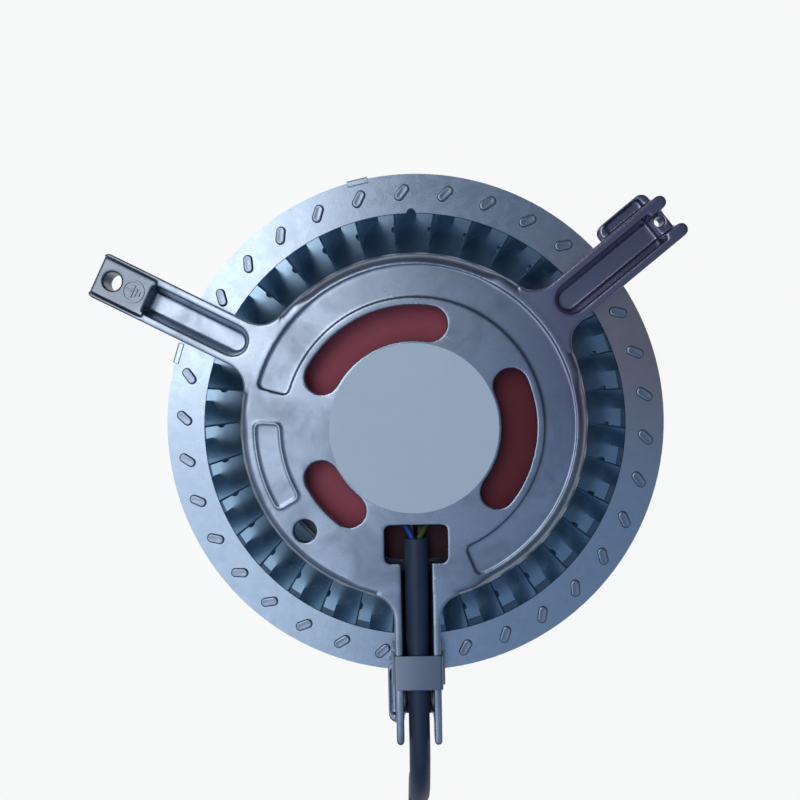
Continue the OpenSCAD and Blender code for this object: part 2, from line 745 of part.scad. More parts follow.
module tail(i) {
    at_tail(i) cylinder(d = lead_d, h = tail_len, $fn = 24);
}

module blue_tail() color("royalblue") tail(0);
module brown_tail() color("saddlebrown") tail(1);
module black_tail() color("black") tail(2);
module earth_tail() color("yellowgreen") tail(3);

module ferrules() color("lightgray") {
    for (i = [0 : 3]) at_tail(i) translate([0, 0, tail_len])
        cylinder(d = lead_d - 0.5, h = ferrule_len, $fn = 24);
}

spider();
label();
stator_core();
windings();
upper_insulation();
lower_insulation();
thermal_protector();
upper_bearing();
lower_bearing();
bearing_spacer();
bearing_retainer();
shaft();
shaft_circlip();
wave_washer();
rotor_can();
rotor_core();
rotor_cage();
back_disc();
disc_rivets();
blades();
inlet_ring();
balance_clips();
cable_clip();
blue_lead();
brown_lead();
black_lead();
earth_lead();
cable();
cable_coil();
coil_tie();
blue_tail();
brown_tail();
black_tail();
earth_tail();
ferrules();
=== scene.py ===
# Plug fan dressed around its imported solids: metres, Z along the wheel's axis, inlet side up
import math

import bmesh
import bpy
from mathutils import Matrix, Vector


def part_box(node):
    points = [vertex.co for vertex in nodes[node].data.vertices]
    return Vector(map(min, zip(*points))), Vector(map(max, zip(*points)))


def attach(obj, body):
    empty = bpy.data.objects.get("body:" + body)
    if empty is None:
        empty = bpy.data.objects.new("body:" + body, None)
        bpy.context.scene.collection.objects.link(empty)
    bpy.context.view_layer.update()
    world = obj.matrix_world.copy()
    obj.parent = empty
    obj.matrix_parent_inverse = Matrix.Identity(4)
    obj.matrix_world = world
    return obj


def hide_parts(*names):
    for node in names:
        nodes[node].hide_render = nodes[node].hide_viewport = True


mm = 0.001
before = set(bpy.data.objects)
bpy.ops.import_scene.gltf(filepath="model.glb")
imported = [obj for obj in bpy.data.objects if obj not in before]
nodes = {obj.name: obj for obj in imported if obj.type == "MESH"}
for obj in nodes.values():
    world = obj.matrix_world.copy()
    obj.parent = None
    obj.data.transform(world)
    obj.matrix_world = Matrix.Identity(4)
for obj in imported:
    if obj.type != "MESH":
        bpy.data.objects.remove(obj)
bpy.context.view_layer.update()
print("frame loaded:", len(nodes), "nodes")

# levels that the pieces share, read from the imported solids
ringLow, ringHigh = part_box("inlet_ring")
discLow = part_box("back_disc")[0]
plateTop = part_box("label")[0].z
ringTop = ringHigh.z


# shader tools
def newGroup(name, inputs, outputs):
    group = bpy.data.node_groups.new(name, "ShaderNodeTree")
    for label, kind, value in inputs:
        socket = group.interface.new_socket(name=label, in_out="INPUT", socket_type=kind)
        socket.default_value = value
    for label, kind in outputs:
        group.interface.new_socket(name=label, in_out="OUTPUT", socket_type=kind)
    return group, group.nodes.new("NodeGroupInput"), group.nodes.new("NodeGroupOutput")


def addNode(tree, kind, values=None, **settings):
    node = tree.nodes.new(kind)
    for key, value in settings.items():
        setattr(node, key, value)
    for key, value in (values or {}).items():
        node.inputs[key].default_value = value
    return node


def feed(tree, socket, value):
    if hasattr(value, "is_output"):
        tree.links.new(value, socket)
    else:
        socket.default_value = value


def mapRange(tree, source, low, high, outLow=0.0, outHigh=1.0):
    node = addNode(tree, "ShaderNodeMapRange", {"From Min": low, "From Max": high})
    for key, value in (("Value", source), ("To Min", outLow), ("To Max", outHigh)):
        feed(tree, node.inputs[key], value)
    return node.outputs["Result"]


# the mix node keeps its colour sockets behind those for numbers and vectors
mixSockets = {"factor": 0, "first": 6, "second": 7, "result": 2}


def mixColor(tree, factor, first, second, blend="MIX"):
    node = addNode(tree, "ShaderNodeMix", data_type="RGBA", blend_type=blend)
    for key, value in (("factor", factor), ("first", first), ("second", second)):
        feed(tree, node.inputs[mixSockets[key]], value)
    return node.outputs[mixSockets["result"]]


def mathNode(tree, operation, first, second):
    node = addNode(tree, "ShaderNodeMath", operation=operation)
    feed(tree, node.inputs[0], first)
    feed(tree, node.inputs[1], second)
    return node.outputs[0]


def measure(tree, operation, source, against):
    node = addNode(tree, "ShaderNodeVectorMath", {1: against}, operation=operation)
    tree.links.new(source, node.inputs[0])
    return node.outputs["Value"]


def blendValues(tree, first, second, shares):
    return mathNode(tree, "ADD", mathNode(tree, "MULTIPLY", first, shares[0]),
                    mathNode(tree, "MULTIPLY", second, shares[1]))


def mixShaders(tree, output, factor, first, second):
    blend = tree.nodes.new("ShaderNodeMixShader")
    tree.links.new(factor, blend.inputs["Fac"])
    tree.links.new(first.outputs[0], blend.inputs[1])
    tree.links.new(second.outputs[0], blend.inputs[2])
    tree.links.new(blend.outputs[0], output.inputs["Surface"])


groupOutputs = [("Color", "NodeSocketColor"), ("Roughness", "NodeSocketFloat"), ("Height", "NodeSocketFloat")]

# mottled skin of a casting or a moulding: stains, changing gloss, fine grain
skinSpec = {
    "broad": {"Detail": 5.0, "Roughness": 0.62, "Distortion": 0.6}, "fine": {"Detail": 3.0, "Roughness": 0.55},
    "stained": (0.42, 0.72), "glossShares": (0.6, 0.4), "glossRange": (0.3, 0.7)}


def makeSkinGroup(spec):
    group, start, end = newGroup("mottledSkin", [
        ("Base", "NodeSocketColor", (0.6, 0.6, 0.6, 1)), ("Stain", "NodeSocketColor", (0.4, 0.38, 0.36, 1)),
        ("Stain Amount", "NodeSocketFloat", 0.4), ("Stain Scale", "NodeSocketFloat", 60.0),
        ("Grain Scale", "NodeSocketFloat", 1500.0), ("Rough Low", "NodeSocketFloat", 0.35),
        ("Rough High", "NodeSocketFloat", 0.5)], groupOutputs)
    links = group.links
    given = start.outputs
    place = addNode(group, "ShaderNodeTexCoord").outputs["Object"]
    broad = addNode(group, "ShaderNodeTexNoise", spec["broad"])
    fine = addNode(group, "ShaderNodeTexNoise", spec["fine"])
    for node, scale in ((broad, "Stain Scale"), (fine, "Grain Scale")):
        links.new(place, node.inputs["Vector"])
        links.new(given[scale], node.inputs["Scale"])
    blot = mapRange(group, broad.outputs["Fac"], *spec["stained"], 0.0, given["Stain Amount"])
    links.new(mixColor(group, blot, given["Base"], given["Stain"]), end.inputs["Color"])
    gloss = blendValues(group, broad.outputs["Fac"], fine.outputs["Fac"], spec["glossShares"])
    links.new(mapRange(group, gloss, *spec["glossRange"], given["Rough Low"], given["Rough High"]),
              end.inputs["Roughness"])
    links.new(fine.outputs["Fac"], end.inputs["Height"])
    return group


# zinc-coated sheet: crystal flakes, dull patches, fine relief
zincSpec = {
    "patches": {"Scale": 170.0, "Detail": 4.0, "Roughness": 0.6}, "relief": {"Scale": 900.0, "Detail": 2.0},
    "worn": (0.45, 0.7), "glossShares": (0.35, 0.65), "glossRange": (0.2, 0.8)}


def makeZincGroup(spec):
    group, start, end = newGroup("zincSheet", [
        ("Base", "NodeSocketColor", (0.5, 0.55, 0.6, 1)), ("Flake", "NodeSocketColor", (0.62, 0.66, 0.7, 1)),
        ("Dull", "NodeSocketColor", (0.36, 0.4, 0.44, 1)), ("Flake Scale", "NodeSocketFloat", 420.0),
        ("Dull Amount", "NodeSocketFloat", 0.35), ("Rough Low", "NodeSocketFloat", 0.3),
        ("Rough High", "NodeSocketFloat", 0.5)], groupOutputs)
    links = group.links
    given = start.outputs
    place = addNode(group, "ShaderNodeTexCoord").outputs["Object"]
    flakes = addNode(group, "ShaderNodeTexVoronoi", {"Randomness": 1.0})
    patches = addNode(group, "ShaderNodeTexNoise", spec["patches"])
    relief = addNode(group, "ShaderNodeTexNoise", spec["relief"])
    for node in (flakes, patches, relief):
        links.new(place, node.inputs["Vector"])
    links.new(given["Flake Scale"], flakes.inputs["Scale"])
    tone = addNode(group, "ShaderNodeSeparateColor")
    links.new(flakes.outputs["Color"], tone.inputs["Color"])
    flaked = mixColor(group, tone.outputs["Red"], given["Base"], given["Flake"])
    worn = mapRange(group, patches.outputs["Fac"], *spec["worn"], 0.0, given["Dull Amount"])
    links.new(mixColor(group, worn, flaked, given["Dull"]), end.inputs["Color"])
    gloss = blendValues(group, tone.outputs["Green"], patches.outputs["Fac"], spec["glossShares"])
    links.new(mapRange(group, gloss, *spec["glossRange"], given["Rough Low"], given["Rough High"]),
              end.inputs["Roughness"])
    links.new(relief.outputs["Fac"], end.inputs["Height"])
    return group


skinGroup = makeSkinGroup(skinSpec)
zincGroup = makeZincGroup(zincSpec)
bumpReach = 0.1 * mm


def newMaterial(name, metallic, group, values, bump, specular=0.5):
    material = bpy.data.materials.new(name)
    material.use_nodes = True
    tree = material.node_tree
    tree.nodes.clear()
    output = tree.nodes.new("ShaderNodeOutputMaterial")
    shader = addNode(tree, "ShaderNodeBsdfPrincipled", {"Metallic": metallic, "Specular IOR Level": specular})
    tree.links.new(shader.outputs["BSDF"], output.inputs["Surface"])
    effect = tree.nodes.new("ShaderNodeGroup")
    effect.node_tree = group
    for key, value in values.items():
        effect.inputs[key].default_value = value if isinstance(value, (int, float)) else (*value, 1)
    tree.links.new(effect.outputs["Color"], shader.inputs["Base Color"])
    tree.links.new(effect.outputs["Roughness"], shader.inputs["Roughness"])
    if bump:
        rise = addNode(tree, "ShaderNodeBump", {"Strength": bump, "Distance": bumpReach})
        tree.links.new(effect.outputs["Height"], rise.inputs["Height"])
        tree.links.new(rise.outputs["Normal"], shader.inputs["Normal"])
    return material


def castMaterial(name, base, stain, amount, rough, bump=0.25):
    return newMaterial(name, 1.0, skinGroup, {
        "Base": base, "Stain": stain, "Stain Amount": amount, "Stain Scale": 55.0, "Grain Scale": 1300.0,
        "Rough Low": rough[0], "Rough High": rough[1]}, bump)


def zincMaterial(name, base, flake, dull, amount, rough, bump=0.08):
    return newMaterial(name, 1.0, zincGroup, {
        "Base": base, "Flake": flake, "Dull": dull, "Dull Amount": amount,
        "Rough Low": rough[0], "Rough High": rough[1]}, bump)


def plasticMaterial(name, base, stain, rough, amount=0.5, grain=900.0, bump=0.12, specular=0.5):
    return newMaterial(name, 0.0, skinGroup, {
        "Base": base, "Stain": stain, "Stain Amount": amount, "Stain Scale": 90.0, "Grain Scale": grain,
        "Rough Low": rough[0], "Rough High": rough[1]}, bump, specular)


castAluminium = castMaterial(
    "castAluminium", (0.455, 0.51, 0.595), (0.23, 0.26, 0.315), amount=0.8, rough=(0.25, 0.35), bump=0.02)
galvanisedRing = zincMaterial(
    "galvanisedRing", (0.48, 0.56, 0.65), (0.51, 0.59, 0.68), (0.45, 0.53, 0.62), amount=0.35, rough=(0.23, 0.31))
galvanisedBlade = zincMaterial(
    "galvanisedBlade", (0.36, 0.55, 0.69), (0.38, 0.57, 0.71), (0.31, 0.50, 0.64),
    amount=0.3, rough=(0.32, 0.42), bump=0.0)
# zinc of the back disc, set darker than the ring's zinc, partly as painted shade inside the wheel
galvanisedDiscAndShade = zincMaterial(
    "galvanisedDiscAndShade", (0.31, 0.43, 0.53), (0.33, 0.45, 0.55), (0.28, 0.40, 0.50),
    amount=0.3, rough=(0.2, 0.28), bump=0.0)
peenedZinc = zincMaterial(
    "peenedZinc", (0.34, 0.40, 0.48), (0.38, 0.44, 0.52), (0.28, 0.34, 0.41), amount=0.4, rough=(0.26, 0.38))
drawnCan = zincMaterial(
    "drawnCan", (0.44, 0.46, 0.48), (0.5, 0.52, 0.54), (0.34, 0.36, 0.38), amount=0.4, rough=(0.3, 0.45))
nickelSpring = castMaterial(
    "nickelSpring", (0.30, 0.335, 0.39), (0.23, 0.25, 0.29), amount=0.35, rough=(0.26, 0.4), bump=0.08)
groundSteel = castMaterial(
    "groundSteel", (0.62, 0.63, 0.65), (0.5, 0.5, 0.5), amount=0.2, rough=(0.18, 0.3), bump=0.05)
bluedSteel = castMaterial(
    "bluedSteel", (0.22, 0.24, 0.28), (0.16, 0.16, 0.18), amount=0.4, rough=(0.35, 0.5), bump=0.08)
laminations = castMaterial("laminations", (0.3, 0.31, 0.33), (0.2, 0.2, 0.21), amount=0.5, rough=(0.4, 0.55))
enamelledWire = castMaterial(
    "enamelledWire", (0.62, 0.28, 0.12), (0.42, 0.16, 0.07), amount=0.5, rough=(0.3, 0.45))
brickInsulation = plasticMaterial(
    "brickInsulation", (0.47, 0.1, 0.13), (0.39, 0.08, 0.105), rough=(0.5, 0.65), specular=0.2)
labelFilm = plasticMaterial(
    "labelFilm", (0.80, 0.92, 0.99), (0.76, 0.88, 0.96), rough=(0.42, 0.55), grain=1800.0, bump=0.04)
slateSheath = plasticMaterial("slateSheath", (0.03, 0.047, 0.085), (0.042, 0.062, 0.105), rough=(0.4, 0.56))
blackMoulding = plasticMaterial("blackMoulding", (0.02, 0.02, 0.024), (0.035, 0.035, 0.04), rough=(0.4, 0.55))
blueSleeve = plasticMaterial("blueSleeve", (0.015, 0.075, 0.4), (0.012, 0.05, 0.28), rough=(0.3, 0.42))
brownSleeve = plasticMaterial("brownSleeve", (0.2, 0.07, 0.03), (0.14, 0.045, 0.02), rough=(0.3, 0.42))
# painted shade: the earth lead's yellow-green is darkened to olive for the shade in the cap window, and its tails
# on the coil share it
shadedEarthSleeve = plasticMaterial(
    "shadedEarthSleeve", (0.11, 0.14, 0.016), (0.02, 0.085, 0.02), rough=(0.3, 0.42), amount=1.0)

# tones painted round a point of a piece, in millimetres: none at the first reach, full at the second; all but the
# pad's tone are painted shade or painted reflection
paintedToneSpec = [
    # painted shade: deeper red on the cap in the right slot, shaded by the hub plate
    {"on": brickInsulation, "centre": (48.0, -2.0, 60.0), "reach": (45.0, 28.0), "tone": (0.2, 0.034, 0.047)},
    # painted shade: dark spot on the cap in the window under the cable arm, where the interior lies in shadow
    {"on": brickInsulation, "centre": (0.8, -40.5, 60.0), "reach": (17.5, 13.0), "tone": (0.05, 0.014, 0.02)},
    # darker tone on the end pad of the left arm
    {"on": castAluminium, "centre": (-103.0, 50.0, 71.0), "reach": (18.0, 10.0), "tone": (0.22, 0.24, 0.275)},
    # painted shade: smoky, darker tone over the right arm, the side turned away from the light
    {"on": castAluminium, "centre": (100.0, 40.0, 70.0), "reach": (75.0, 45.0), "tone": (0.31, 0.30, 0.40)},
    # painted reflection: warmer stretch of the ring beside the right arm, fixed to the ring so it turns with it
    {"on": galvanisedRing, "centre": (84.0, 36.0, 58.0), "reach": (60.0, 10.0), "tone": (0.54, 0.45, 0.46)},
    # painted shade: back disc darker inside about 81.5 mm, fading out by 86.5 mm, where the ring and blades shade
    # it
    {"on": galvanisedDiscAndShade, "centre": (0.0, 0.0, 0.0), "reach": (86.5, 81.5), "tone": (0.16, 0.235, 0.31)}]


def addPaintedTone(spec):
    tree = spec["on"].node_tree
    shader = tree.nodes["Principled BSDF"]
    unpaintedColour = shader.inputs["Base Color"].links[0].from_socket
    place = addNode(tree, "ShaderNodeTexCoord").outputs["Object"]
    away = measure(tree, "DISTANCE", place, [c * mm for c in spec["centre"]])
    share = mapRange(tree, away, *[r * mm for r in spec["reach"]])
    # mixes the painted tone over the piece's own colour
    tree.links.new(mixColor(tree, share, unpaintedColour, (*spec["tone"], 1)), shader.inputs["Base Color"])


for paintedTone in paintedToneSpec:
    addPaintedTone(paintedTone)
print("materials made:", len(bpy.data.materials))


# mesh tools
def finishMesh(name, mesh, material, body, sharp=35.0):
    mesh.materials.clear()
    mesh.materials.append(material)
    mesh.shade_smooth()
    mesh.set_sharp_from_angle(angle=math.radians(sharp))
    piece = bpy.data.objects.new(name, mesh)
    bpy.context.scene.collection.objects.link(piece)
    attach(piece, body)
    return piece


def meshPiece(name, verts, faces, material, body, sharp=35.0):
    mesh = bpy.data.meshes.new(name)
    mesh.from_pydata([tuple(v) for v in verts], [], faces)
    bm = bmesh.new()
    bm.from_mesh(mesh)
    bmesh.ops.recalc_face_normals(bm, faces=bm.faces)
    bm.to_mesh(mesh)
    bm.free()
    mesh.update()
    return finishMesh(name, mesh, material, body, sharp)


def loftLoops(loops, verts, faces):
    first = len(verts)
    count = len(loops[0])
    for loop in loops:
        verts.extend(loop)
    for row in range(len(loops) - 1):
        for k in range(count):
            a = first + row * count + k
            b = first + row * count + (k + 1) % count
            faces.append((a, b, b + count, a + count))
    faces.append(tuple(range(first + count - 1, first - 1, -1)))
    last = first + (len(loops) - 1) * count
    faces.append(tuple(range(last, last + count)))


def polar(radius, degrees, z=0.0):
    turn = math.radians(degrees)
    return Vector((radius * math.cos(turn), radius * math.sin(turn), z))


def smoothPath(points, steps):
    points = [Vector(p) for p in points]
    ends = [2 * points[0] - points[1]] + points + [2 * points[-1] - points[-2]]
    path = []
    for i in range(1, len(ends) - 2):
        a, b, c, d = ends[i - 1:i + 3]
        for k in range(steps):
            t = k / steps
            path.append(0.5 * ((2 * b) + (c - a) * t + (2 * a - 5 * b + 4 * c - d) * t * t
                               + (3 * b - a - 3 * c + d) * t * t * t))
    path.append(points[-1])
    return path


def tubeCurve(name, path, radius, material, body, sides=6, fullness=None):
    curve = bpy.data.curves.new(name, "CURVE")
    curve.dimensions = "3D"
    curve.bevel_depth = radius
    curve.bevel_resolution = sides
    curve.use_fill_caps = True
    spline = curve.splines.new("POLY")
    spline.points.add(len(path) - 1)
    for point, place in zip(spline.points, path):
        point.co = (*place, 1)
    if fullness:
        spline.points.foreach_set("radius", fullness)
    spline.use_smooth = True
    curve.materials.append(material)
    piece = bpy.data.objects.new(name, curve)
    bpy.context.scene.collection.objects.link(piece)
    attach(piece, body)
    return piece


# strip of sheet bent along a path in its own X and Z, pressed out along Y, with thinner edges
stripSpec = {"bendSteps": 5, "edge": 0.25, "edgeThick": 0.55}


def bentStrip(path, thickness, wide, bend, place):
    corners = []
    steps = stripSpec["bendSteps"]
    for i, point in enumerate(path):
        point = Vector(point)
        if i in (0, len(path) - 1):
            corners.append(point)
            continue
        before = (Vector(path[i - 1]) - point).normalized()
        after = (Vector(path[i + 1]) - point).normalized()
        for k in range(steps + 1):
            t = k / steps
            corners.append(point + bend * (before * (1 - t) ** 2 + after * t * t))
    left, right = [], []
    for i, point in enumerate(corners):
        along = (corners[min(i + 1, len(corners) - 1)] - corners[max(i - 1, 0)]).normalized()
        side = Vector((-along.y, along.x)) * thickness / 2
        left.append(point + side)
        right.append(point - side)
    outline = left + right[::-1]
    middles = corners + corners[::-1]
    edge, thin = thickness * stripSpec["edge"], stripSpec["edgeThick"]
    loops = []
    for y, full in ((-wide / 2, thin), (-wide / 2 + edge, 1.0), (wide / 2 - edge, 1.0), (wide / 2, thin)):
        spots = [mid.lerp(point, full) for mid, point in zip(middles, outline)]
        loops.append([place @ Vector((spot.x, y, spot.y)) for spot in spots])
    return loops


def paint(node, material, sharp=30.0):
    mesh = nodes[node].data
    mesh.materials.clear()
    mesh.materials.append(material)
    mesh.shade_smooth()
    mesh.set_sharp_from_angle(angle=math.radians(sharp))


# camera at the photograph's view
cameraSpec = {
    "place": Vector((-0.00408, 0.00990, 0.34959)),
    "right": Vector((0.99952, 0.0, -0.0310)),
    "up": Vector((-0.00232, 0.99719, -0.07489)),
    "lens": 36.0, "sensor": 36.0, "shift": (0.02856, 0.0754), "clip": (0.01, 50.0)}


def makeCamera(spec):
    data = bpy.data.cameras.new("photoCamera")
    data.lens = spec["lens"]
    data.sensor_width = spec["sensor"]
    data.shift_x, data.shift_y = spec["shift"]
    data.clip_start, data.clip_end = spec["clip"]
    right = spec["right"].normalized()
    back = right.cross(spec["up"]).normalized()
    up = back.cross(right)
    turn = Matrix((right, up, back)).transposed().to_4x4()
    camera = bpy.data.objects.new("photoCamera", data)
    camera.matrix_world = Matrix.Translation(spec["place"]) @ turn
    bpy.context.scene.collection.objects.link(camera)
    bpy.context.scene.camera = camera


makeCamera(cameraSpec)
print("camera set")

# cores of the cable: offset where each leaves the cap, then the way it lies in the sheath's two ends
coreSpec = [
    {"name": "blue", "material": blueSleeve, "slot": "blue_pvc", "from": -5.4, "lay": (-1, 1), "far": (-1, 1)},
    {"name": "brown", "material": brownSleeve, "slot": "brown_pvc", "from": -1.8, "lay": (-1, -1), "far": (1, -1)},
    {"name": "black", "material": blackMoulding, "slot": "black_plastic", "from": 1.8, "lay": (1, -1),
     "far": (1, -1)},
    {"name": "earth", "material": shadedEarthSleeve, "slot": "earth_pvc", "from": 5.4, "lay": (1, 1), "far": (-1, 1)}]

# supply cable: along its arm, down to the ground, one loop of spare length, stripped ends
cordSpec = {
    "radius": 3.8 * mm, "sides": 8, "steps": 4, "full": (1.12, -60.0, -76.0),
    "coilCentre": (-41.0, -222.0), "coilR": 44.2, "pitch": 7.75, "turn": 390, "turnStep": 15, "coilZ": 4.8,
    "leadRadius": 1.05 * mm, "leadOut": 1.35, "leadSteps": 6, "squeeze": 0.8, "inSheath": 3.0, "straight": 4.5,
    "tailTurn": 170.0, "tailOff": 12.0, "tailPitch": 2.5, "tailStartR": 32.7, "tailZ": 1.15, "tailLift": 0.3,
    "tailDown": (9.0, 0.5), "tailMid": 20.0, "tailLen": 30.0}
cableRoute = [
    (0.9, -38.6, 68.6), (1.3, -56, 68.55), (1.7, -74, 68.2), (2.1, -92, 68.2), (2.5, -108, 68.2),
    (2.7, -116, 68.0), (2.8, -123, 66.7), (2.9, -130, 63.6), (3, -136, 58.8), (3, -141, 52.2),
    (3, -144, 44.2), (3, -145, 36.2), (3, -146, 28.2), (3, -149, 20.2), (3, -154, 13.8),
    (3, -160, 9.0), (3, -167, 6.0), (3, -175, 4.8), (3, -190, 4.8), (3, -206, 4.8)]


def coilPoint(spec, turned):
    x, y = spec["coilCentre"]
    radius = spec["coilR"] - spec["pitch"] * turned / 360
    spot = polar(radius, -turned)
    return (x + spot.x, y + spot.y, spec["coilZ"])


def makeTail(spec, i, core, end, heading):
    along = polar(1, spec["tailTurn"])
    across = polar(1, spec["tailTurn"] + 90)
    aside = heading.cross(Vector((0, 0, 1))).normalized()
    y = spec["tailOff"] + i * spec["tailPitch"]
    x = -math.sqrt(spec["tailStartR"] ** 2 - (y + spec["leadRadius"] / mm) ** 2)
    rest = Vector((*spec["coilCentre"], spec["tailZ"])) + x * along + y * across
    side, rise = (way * spec["leadOut"] for way in core["far"])
    begin = end / mm - heading * spec["inSheath"] + aside * side * spec["squeeze"] + Vector((0, 0, rise))
    down, downStep = spec["tailDown"]
    route = [begin, begin + heading * spec["straight"],
             rest + along * (down + downStep * i) + Vector((0, 0, spec["tailLift"])),
             rest + along * spec["tailMid"], rest + along * spec["tailLen"]]
    path = [p * mm for p in smoothPath(route, spec["leadSteps"])]
    tail = tubeCurve(core["name"] + "Tail", path, spec["leadRadius"], core["material"], "frame")
    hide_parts(core["name"] + "_tail")
    return tail


def makeCord(spec):
    coil = [coilPoint(spec, turned) for turned in range(0, spec["turn"] + 1, spec["turnStep"])]
    path = [p * mm for p in smoothPath(cableRoute + coil, spec["steps"])]
    full, fromY, toY = spec["full"]
    shares = [min(max((p.y / mm - toY) / (fromY - toY), 0), 1) for p in path]
    fullness = [1 + (full - 1) * t for t in shares]
    cable = tubeCurve("supplyCable", path, spec["radius"], slateSheath, "frame", spec["sides"], fullness)
    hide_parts("cable", "cable_coil")
    heading = (path[-1] - path[-3]).normalized()
    ends = [makeTail(spec, i, core, path[-1], heading) for i, core in enumerate(coreSpec)]


makeCord(cordSpec)
paint("coil_tie", blackMoulding)
paint("ferrules", groundSteel)

# leads from the insulating cap into the sheath
leadSpec = {
    "turn": 271.3, "radius": 1.05 * mm, "steps": 6, "out": 1.35, "along": (27.8, 29.2, 31.4, 34.8),
    "sunk": 1.2, "bow": 0.7, "clear": 0.1, "sheathEnds": (38.6, 41.6), "cableZ": 68.2}
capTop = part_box("upper_insulation")[1].z / mm


def makeLead(spec, core):
    rest = capTop + spec["radius"] / mm + spec["clear"]
    begin = core["from"]
    side, rise = (way * spec["out"] for way in core["lay"])
    end = spec["cableZ"] + rise
    foot, heel, top, mid = spec["along"]
    points = [(foot, begin, capTop - spec["sunk"]), (heel, begin, rest - spec["bow"]), (top, begin, rest),
              (mid, (begin + side) / 2, (rest + end) / 2)] + [(u, side, end) for u in spec["sheathEnds"]]
    along = polar(1, spec["turn"])
    across = polar(1, spec["turn"] + 90)
    path = [mm * (u * along + v * across + Vector((0, 0, z))) for u, v, z in points]
    lead = tubeCurve(core["name"] + "Lead", smoothPath(path, spec["steps"]), spec["radius"], core["material"],
                     "frame")
    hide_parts(core["name"] + "_lead")


for core in coreSpec:
    makeLead(leadSpec, core)
print("cable and leads laid")

# forward-curved blades, the nibs on them and their peened tab heads
bladeSpec = {
    "count": 34, "inR": 76.8, "outR": 87.8, "sweep": 6.4, "rise": 2.25, "thick": 0.8, "tabAt": 0.5, "phase": 8.3,
    "foot": 1.8, "edge": 0.12, "edgeThick": 0.5, "edgeShare": 0.02, "columns": 16, "sharp": 40.0,
    "nibAt": (0.1, 0.36), "nibWide": 1.3, "nibTall": 5.0, "nibHigh": 1.5, "nibSunk": 0.1,
    "nibRows": 6, "nibPoints": 14,
    "tabLong": 6.6, "tabWide": 3.6, "tabPoints": 24, "tabSharp": 50.0,
    "tabRise": ((0.0, 0.0), (0.12, 0.42), (0.3, 0.62), (0.55, 0.74), (0.8, 0.76), (1.2, 0.7))}


def bladeArc(spec):
    sweep = math.radians(spec["sweep"])
    start = Vector((spec["inR"], 0))
    end = spec["outR"] * Vector((math.cos(sweep), -math.sin(sweep)))
    chord = (end - start).length
    along = (end - start) / chord
    radius = (chord * chord / 4 + spec["rise"] ** 2) / (2 * spec["rise"])
    centre = (start + end) / 2 + (radius - spec["rise"]) * Vector((along.y, -along.x))
    begin = math.atan2(start.y - centre.y, start.x - centre.x)
    span = 2 * math.asin(chord / 2 / radius)
    return centre, radius, begin, span


def makeBlades(spec):
    centre, radius, begin, span = bladeArc(spec)
    foot, high = spec["foot"], ringLow.z / mm
    tabTurn = begin - spec["tabAt"] * span
    tabSpot = centre + radius * Vector((math.cos(tabTurn), math.sin(tabTurn)))
    firstTurn = spec["phase"] - math.degrees(math.atan2(tabSpot.y, tabSpot.x))

    def bladePoint(share, side, z):
        trim = spec["edge"] / (radius * span)
        atEdge = share in (0, 1)   # edges broken by the shears
        thick = spec["thick"] * (spec["edgeThick"] if atEdge else 1)
        share = min(max(share, trim), 1 - trim) if atEdge else share
        r = radius + side * thick / 2
        turn = begin - share * span
        return Vector((centre.x + r * math.cos(turn), centre.y + r * math.sin(turn), z))

    def tabHead(z, way):
        straight = (spec["tabLong"] - spec["tabWide"]) / 2
        tip = Vector((math.cos(tabTurn), math.sin(tabTurn)))
        lay = Vector((-tip.y, tip.x))
        loops = []
        for inset, rise in spec["tabRise"]:
            loop = []
            for k in range(spec["tabPoints"]):
                turn = 2 * math.pi * k / spec["tabPoints"]
                r = spec["tabWide"] / 2 - inset
                shift = straight if math.sin(turn) >= 0 else -straight
                spot = tabSpot + tip * (r * math.cos(turn)) + lay * (r * math.sin(turn) + shift)
                loop.append(Vector((spot.x, spot.y, z + way * rise)))
            loops.append(loop)
        return loops

    def nib():
        share, level = spec["nibAt"]
        turn = begin - share * span
        out = Vector((math.cos(turn), math.sin(turn), 0))
        wide = spec["nibWide"] * Vector((-out.y, out.x, 0))
        tall = Vector((0, 0, spec["nibTall"]))
        seat = Vector((centre.x, centre.y, foot + level * (high - foot)))
        seat += (radius + spec["thick"] / 2 - spec["nibSunk"]) * out
        spokes = [2 * math.pi * j / spec["nibPoints"] for j in range(spec["nibPoints"])]
        loops = []
        for k in range(spec["nibRows"]):
            lift = k * math.pi / (2 * spec["nibRows"])
            middle = seat + spec["nibHigh"] * math.sin(lift) * out
            loops.append([middle + math.cos(lift) * (math.cos(t) * wide + math.sin(t) * tall) for t in spokes])
        return loops

    columns, edgeShare = spec["columns"], spec["edgeShare"]
    shares = [0, edgeShare] + [k / columns for k in range(1, columns)] + [1 - edgeShare, 1]
    flat = [[bladePoint(t, -1, z) for t in shares] + [bladePoint(t, 1, z) for t in shares[::-1]]
            for z in (foot, high)]
    heads = [tabHead(ringTop / mm, 1), tabHead(discLow.z / mm, -1)]
    verts, faces, headVerts, headFaces = [], [], [], []
    for i in range(spec["count"]):
        turn = Matrix.Rotation(math.radians(firstTurn + i * 360 / spec["count"]), 3, "Z")
        for loops in (flat, nib()):
            loftLoops([[mm * (turn @ p) for p in loop] for loop in loops], verts, faces)
        for loops in heads:
            loftLoops([[mm * (turn @ p) for p in loop] for loop in loops], headVerts, headFaces)
    blades = meshPiece("curvedBlades", verts, faces, galvanisedBlade, "wheel", spec["sharp"])
    tabs = meshPiece("peenedTabs", headVerts, headFaces, peenedZinc, "wheel", spec["tabSharp"])
    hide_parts("blades")
    print("blades:", spec["count"], "of", len(flat) * len(flat[0]), "points")


makeBlades(bladeSpec)
paint("inlet_ring", galvanisedRing)
paint("back_disc", galvanisedDiscAndShade)
paint("disc_rivets", groundSteel)

